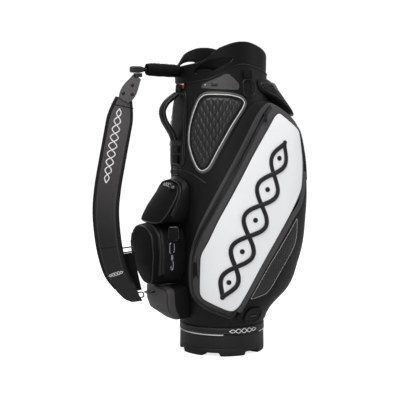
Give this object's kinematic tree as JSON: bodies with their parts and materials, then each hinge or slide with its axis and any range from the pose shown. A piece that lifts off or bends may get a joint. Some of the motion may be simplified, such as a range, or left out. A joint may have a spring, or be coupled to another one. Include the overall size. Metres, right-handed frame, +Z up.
{
  "type": "golf staff bag",
  "caption": "Upright golf staff bag with moulded boot and cuff, club divider, stacked pockets, carry handle and a swinging padded shoulder strap",
  "frame": {"origin": "middle of the underside of the boot, level with its feet", "axes": "+Z up; -X towards the spine with the strap, handle and pouches; +X towards the ball pocket; -Y the side with the towel ring"},
  "size_m": [0.6063, 0.3338, 0.8378],
  "materials": {
    "boot_plastic": "satin",
    "piping_vinyl": "satin",
    "body_leather_black": "matte",
    "cuff_plastic": "satin",
    "divider_plastic": "matte",
    "leather_charcoal": "satin",
    "leather_white": "satin",
    "leather_quilted": "satin",
    "fabric_black": "matte",
    "strap_leather": "satin",
    "webbing_black": "matte",
    "nickel": "satin",
    "gunmetal": "satin",
    "swivel_plastic": "satin",
    "tag_vinyl": "satin"
  },
  "bodies": {
    "bag": {"accessory_pocket": "leather_charcoal", "ball_pocket": "leather_charcoal", "base_boot": "boot_plastic", "base_collar": "boot_plastic", "base_piping": "piping_vinyl", "body_shell": "body_leather_black", "clip_tab": "webbing_black", "divider_frame": "divider_plastic", "drain_patch_right": "fabric_black", "grab_handle": "leather_charcoal", "handle_tab_lower": "webbing_black", "handle_tab_upper": "webbing_black", "leaf_panel_left": "leather_white", "leaf_panel_right": "leather_white", "lower_pouch": "fabric_black", "quilted_panel_left": "leather_quilted", "quilted_panel_right": "leather_quilted", "side_pocket_left": "leather_charcoal", "side_pocket_right": "leather_charcoal", "spine_panel": "leather_charcoal", "spine_pocket": "leather_charcoal", "spine_ring": "gunmetal", "spine_ring_tab": "webbing_black", "spine_tag": "tag_vinyl", "strap_anchor": "nickel", "strap_sleeve": "fabric_black", "strap_swivel": "swivel_plastic", "top_cuff": "cuff_plastic", "towel_ring_tab": "webbing_black", "trim_panel_left": "leather_quilted", "trim_panel_right": "leather_quilted", "upper_pouch": "fabric_black"},
    "strap": {"strap_pad": "strap_leather", "strap_yoke": "strap_leather", "yoke_screw_1": "nickel", "yoke_screw_2": "nickel", "yoke_screw_3": "nickel", "strap_neck": "gunmetal", "strap_ring_upper": "nickel", "strap_ring_lower": "nickel", "strap_webbing": "webbing_black", "strap_tail": "webbing_black"},
    "towel_ring": {"towel_ring": "gunmetal"},
    "clip_ring": {"clip_ring": "nickel"},
    "clip_hook": {"clip_hook": "nickel"},
    "side_zip_right_slider": {"side_zip_right_slider": "gunmetal"},
    "side_zip_right_pull": {"side_zip_right_pull": "nickel"},
    "side_zip_left_slider": {"side_zip_left_slider": "gunmetal"},
    "side_zip_left_pull": {"side_zip_left_pull": "nickel"},
    "accessory_zip_slider": {"accessory_zip_slider": "gunmetal"},
    "accessory_zip_pull": {"accessory_zip_pull": "nickel"},
    "ball_zip_slider": {"ball_zip_slider": "gunmetal"},
    "ball_zip_pull": {"ball_zip_pull": "nickel"},
    "upper_zip_slider": {"upper_zip_slider": "gunmetal"},
    "upper_zip_pull": {"upper_zip_pull": "nickel"},
    "lower_zip_slider": {"lower_zip_slider": "gunmetal"},
    "lower_zip_pull": {"lower_zip_pull": "nickel"}
  },
  "joints": [
    {"name": "strap_swing", "type": "hinge", "parent": "bag", "child": "strap", "pos_m": [-0.247, 0, 0.765], "axis": [0, 0, 1], "range_deg": [-45, 38]},
    {"name": "towel_ring_swing", "type": "hinge", "parent": "bag", "child": "towel_ring", "pos_m": [0.01332, -0.12713, 0.74699], "axis": [0.9952, 0.0979, 0], "range_deg": [-80, 0]},
    {"name": "clip_ring_swing", "type": "hinge", "parent": "bag", "child": "clip_ring", "pos_m": [-0.186, -0.0835, 0.3135], "axis": [0.8, 0.6, 0], "range_deg": [-60, 4]},
    {"name": "clip_hook_swing", "type": "hinge", "parent": "clip_ring", "child": "clip_hook", "pos_m": [-0.186, -0.0835, 0.2805], "axis": [0.8, 0.6, 0], "range_deg": [-20, 4]},
    {"name": "side_zip_right_slide", "type": "slide", "parent": "bag", "child": "side_zip_right_slider", "axis": [0.4963, 0.1628, 0.8527], "range_m": [-0.05, 0]},
    {"name": "side_zip_right_pull_swing", "type": "hinge", "parent": "side_zip_right_slider", "child": "side_zip_right_pull", "pos_m": [0.05342, -0.1495, 0.65027], "axis": [0.9994, 0.035, 0], "range_deg": [-90, 0]},
    {"name": "side_zip_left_slide", "type": "slide", "parent": "bag", "child": "side_zip_left_slider", "axis": [0.4963, -0.1628, 0.8527], "range_m": [-0.05, 0]},
    {"name": "side_zip_left_pull_swing", "type": "hinge", "parent": "side_zip_left_slider", "child": "side_zip_left_pull", "pos_m": [0.05342, 0.1495, 0.65027], "axis": [-0.9994, 0.035, 0], "range_deg": [-90, 0]},
    {"name": "accessory_zip_slide", "type": "slide", "parent": "bag", "child": "accessory_zip_slider", "axis": [0.8323, 0.5394, -0.1278], "range_m": [-0.015, 0.015]},
    {"name": "accessory_zip_pull_swing", "type": "hinge", "parent": "accessory_zip_slider", "child": "accessory_zip_pull", "pos_m": [0.10226, -0.10697, 0.72946], "axis": [0.7954, 0.6061, 0], "range_deg": [-90, 0]},
    {"name": "ball_zip_slide", "type": "slide", "parent": "bag", "child": "ball_zip_slider", "axis": [-0.2238, -0.1044, 0.969], "range_m": [-0.08, 0]},
    {"name": "ball_zip_pull_swing", "type": "hinge", "parent": "ball_zip_slider", "child": "ball_zip_pull", "pos_m": [0.21195, 0.07781, 0.58843], "axis": [-0.4229, 0.9062, 0], "range_deg": [-90, 0]},
    {"name": "upper_zip_slide", "type": "slide", "parent": "bag", "child": "upper_zip_slider", "axis": [0.1337, -0.991, 0], "range_m": [-0.05, 0.01]},
    {"name": "upper_zip_pull_swing", "type": "hinge", "parent": "upper_zip_slider", "child": "upper_zip_pull", "pos_m": [-0.16277, -0.0341, 0.46289], "axis": [0.1337, -0.991, 0], "range_deg": [-90, 0]},
    {"name": "lower_zip_slide", "type": "slide", "parent": "bag", "child": "lower_zip_slider", "axis": [-0.09, -0.9959, 0], "range_m": [-0.01, 0.06]},
    {"name": "lower_zip_pull_swing", "type": "hinge", "parent": "lower_zip_slider", "child": "lower_zip_pull", "pos_m": [-0.25069, 0.03487, 0.32986], "axis": [-0.09, -0.9959, 0], "range_deg": [-90, 0]}
  ]
}
